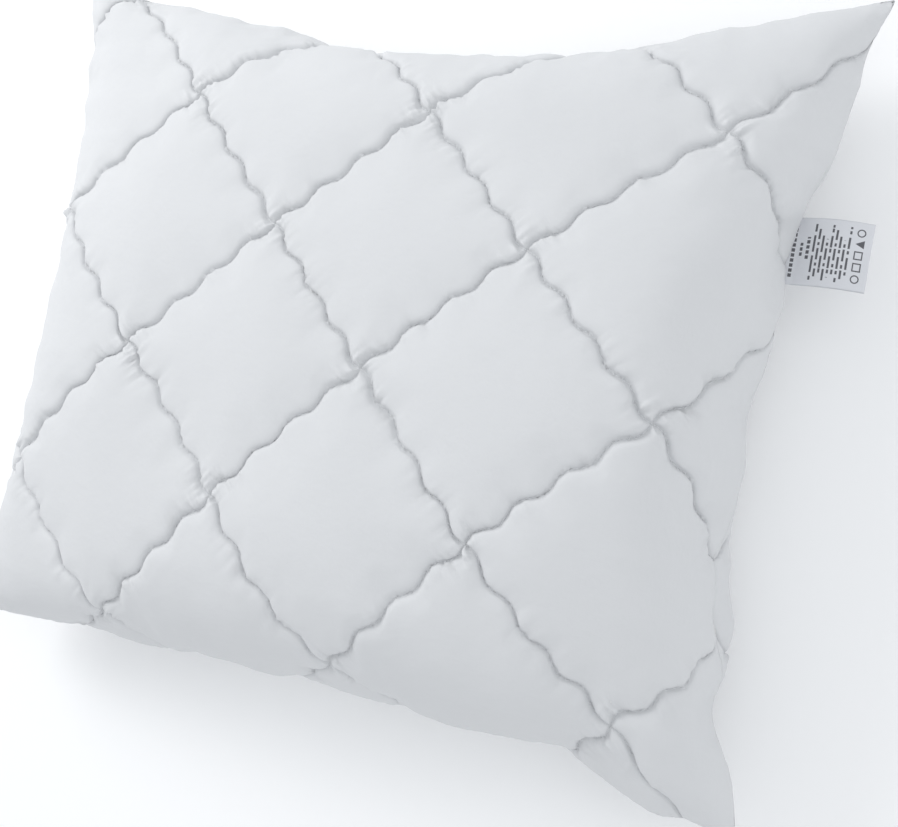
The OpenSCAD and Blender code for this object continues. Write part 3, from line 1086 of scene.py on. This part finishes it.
# %% Cotton cover
COTTON = (0.715, 0.721, 0.730)
COTTON_TONE_AND_CREASE_SHADE = (0.47, 0.485, 0.50)
YARNS = 0.0011
CREASE_LINE = 0.0009
cotton, tree, shader = paint("white_cotton", COTTON, 0.82, Sheen_Weight=0.12, Sheen_Roughness=0.5,
                             Specular_IOR_Level=0.25)
across, along = flat_place(tree)
weave = across.ripple(YARNS) * along.ripple(YARNS)
slubs = place_noise(tree, 90.0)
rumple = place_noise(tree, 28.0, 4.0)
# Distance to the nearest stitch line: it drives the crease bump and the painted crease shade below
rising_way = (across + along - (CROSS_X + CROSS_Y)) / sqrt(2)
falling_way = (across - along - (CROSS_X - CROSS_Y)) / sqrt(2)
to_falling = rising_way - falling_way.ripple(WAVE) * SWING
to_rising = falling_way + rising_way.ripple(WAVE) * SWING
nearest = to_falling.math("PINGPONG", to_falling, SIDE / 2)
nearest = nearest.math("MINIMUM", nearest, to_rising.math("PINGPONG", to_rising, SIDE / 2))
crease = nearest.math("EXPONENT", nearest * (-1 / CREASE_LINE))
bump(tree, shader, weave * 0.05 + slubs * 0.3 + rumple * 0.9 - crease * 0.9, 0.0011)
# Base colour: random tone from noise, plus painted shade that darkens the cloth along the stitch creases
tint(tree, shader, 0.87 + place_noise(tree, 9.0) * 0.12 - crease * 0.30, COTTON_TONE_AND_CREASE_SHADE, COTTON)

# %% Wadding, lining and filling
DIMPLES = 0.0024
wadding_paint, tree, shader = paint("wadding", (0.86, 0.86, 0.84), 0.95, Sheen_Weight=0.3)
bump(tree, shader, place_noise(tree, 220.0, 6.0, 0.7), 0.002)
tint(tree, shader, place_noise(tree, 60.0), (0.80, 0.80, 0.78), (0.90, 0.90, 0.88))
lining_paint, tree, shader = paint("nonwoven_lining", (0.82, 0.82, 0.80), 0.9)
across, along = flat_place(tree)
dimples = across.ripple(DIMPLES) * along.ripple(DIMPLES)
bump(tree, shader, dimples + place_noise(tree, 300.0), 0.0002)
tint(tree, shader, place_noise(tree, 120.0), (0.78, 0.78, 0.76), (0.86, 0.86, 0.84))
filling_paint, tree, shader = paint("fibre_filling", (0.88, 0.88, 0.86), 1.0, Sheen_Weight=0.4)
bump(tree, shader, place_noise(tree, 110.0, 8.0, 0.75), 0.004)
tint(tree, shader, place_noise(tree, 35.0), (0.82, 0.82, 0.80), (0.92, 0.92, 0.90))

# %% Thread
PLY = 0.0009
thread_paint, tree, shader = paint("white_thread", (0.74, 0.75, 0.76), 0.55, Sheen_Weight=0.1)
place = add(tree, "ShaderNodeSeparateXYZ", {}, add(tree, "ShaderNodeTexCoord", {}, out=3))
depth = Wire(tree, place.socket.node.outputs[1])
ply = (place + depth).ripple(PLY)
bump(tree, shader, ply, 0.00005)
tint(tree, shader, place_noise(tree, 400.0), (0.68, 0.69, 0.70), (0.77, 0.78, 0.79))

# %% Satin label with generic print: plain bars for lettering and plain outlines for care symbols
satin, tree, shader = paint("satin_ribbon", (0.70, 0.71, 0.74), 0.38, Specular_IOR_Level=0.5)
along, across = flat_place(tree)
ribs = along.ripple(PLY)
bump(tree, shader, ribs * 0.3 + place_noise(tree, 200.0), 0.0002)
# Bars of print: where each starts along the ribbon, how wide it is, and its two ends across the ribbon
HEADINGS = ((0.0125, 0.0028, 0.006, 0.050), (0.0190, 0.0022, 0.024, 0.035), (0.0240, 0.0026, 0.021, 0.040))
SMALL_PRINT = tuple((0.0290 + 0.0034 * k, 0.0017, 0.005 + 0.003 * (k % 3), 0.051 - 0.004 * (k % 4))
                    for k in range(9))
SIGN_AT = 0.0650
SIGN = 0.0034
LINE = 0.0010
ink = None
for start, wide, low, high in (*HEADINGS, *SMALL_PRINT):
    letters = (across * 1500 + start * 700).sine().above(-0.55)
    if wide < 0.0020:
        letters = ((across * 380 + start * 900).sine() + (across * 1130).sine()).above(-0.7)
    mark = along.between(start, start + wide) * across.between(low, high) * letters
    ink = mark if ink is None else ink.larger(mark)
for k, outline in enumerate(("ring", "box", "box", "triangle", "ring")):
    down = along - SIGN_AT
    aside = across - (0.0095 + 0.0093 * k)
    if outline == "triangle":
        mark = (aside.size() * 2 - down).below(SIGN) * down.below(SIGN)
    elif outline == "ring":
        mark = (down * down + aside * aside).root().between(SIGN - LINE, SIGN)
    else:
        mark = down.size().larger(aside.size()).between(SIGN - LINE, SIGN)
    ink = ink.larger(mark)
tint(tree, shader, ink * 0.92, (0.70, 0.71, 0.74), (0.05, 0.05, 0.06))

# %% Sewing the threads
front_quilting = sew("front_quilting_stitches", quilting_rows(front_fine, front_normals),
                     thread_paint, STITCH, THREAD, arch=0.00035)
back_quilting = sew("back_quilting_stitches", quilting_rows(back_fine, back_normals),
                    thread_paint, STITCH, THREAD, arch=0.00035)
seam_stitches = sew("edge_seam_stitches", seam_rows(0.006, 0.0008, PITCH, False),
                    thread_paint, STITCH, THREAD, arch=0.00030)
overlock_loops = sew("overlock_loops", seam_rows(0.0105, 0.0010, 0.0030, True),
                     thread_paint, 0.0042, THREAD, arch=0.00035)
closing_stitches = sew("closing_stitches", closing_rows(), thread_paint, 0.0055, 0.0008, arch=0.0004)

# %% Putting the materials on, attaching the pieces to the pillow's body and hiding the parts they replace
STANDS_FOR = (
    (front_cover_cloth, cotton, "cover_cloth", ["front_cover"]),
    (back_cover_cloth, cotton, "cover_cloth", ["back_cover"]),
    (front_wadding_layer, wadding_paint, "wadding", ["front_wadding"]),
    (back_wadding_layer, wadding_paint, "wadding", ["back_wadding"]),
    (front_lining_layer, lining_paint, "lining", ["front_lining"]),
    (back_lining_layer, lining_paint, "lining", ["back_lining"]),
    (fibre_core, filling_paint, "filling", ["fibre_filling"]),
    (front_quilting, None, "thread", ["front_quilting_thread"]),
    (back_quilting, None, "thread", ["back_quilting_thread"]),
    (seam_stitches, None, "thread", ["edge_seam_thread"]),
    (overlock_loops, None, "thread", ["overlock_thread"]),
    (closing_stitches, None, "thread", ["closing_stitch"]),
)
for piece, material, slot, nodes in STANDS_FOR:
    if material:
        piece.data.materials.append(material)
    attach(piece, "pillow")
    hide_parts(*nodes)
label.data.materials.append(satin)
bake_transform(label)
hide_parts("label_root", "care_label")

# %% [markdown]
# ## Light and camera
# The pillow lies on a pale floor under a large, soft light from the upper left, with a weak fill from the
# right.

# %% Floor, light and camera
floor = placed("floor", new_mesh("floor", [(-4, -4, 0), (4, -4, 0), (4, 4, 0), (-4, 4, 0)], [(0, 1, 2, 3)]))
floor.location.z = -0.0005
floor.data.materials.append(paint("pale_floor", (0.985, 0.985, 0.985), 0.95)[0])


def area_light(name, place, size, power):
    """A square soft light that points at the pillow."""
    lamp = bpy.data.lights.new(name, "AREA")
    lamp.size = size
    lamp.energy = power
    light = placed(name, lamp)
    light.location = place
    light.rotation_euler = (Vector((0, 0, 0.08)) - Vector(place)).to_track_quat("-Z", "Y").to_euler()
    return light


key_light = area_light("key_light", (-1.6, 1.0, 1.3), 1.0, 20)
fill_light = area_light("fill_light", (1.5, 0.3, 2.0), 2.5, 8)
sky = bpy.data.worlds.new("soft_sky")
bpy.context.scene.world = sky
sky.use_nodes = True
sky.node_tree.nodes["Background"].inputs["Color"].default_value = (0.935, 0.962, 0.995, 1)
sky.node_tree.nodes["Background"].inputs["Strength"].default_value = 0.82
bpy.context.scene.view_settings.view_transform = "Standard"
lens = bpy.data.cameras.new("camera")
lens.lens = 47.4
lens.sensor_width = 36
camera = placed("camera", lens)
camera.location = (0.4651, -0.061, 1.0668)
camera.rotation_euler = (radians(4.316), radians(20.402), radians(10.606))
bpy.context.scene.camera = camera
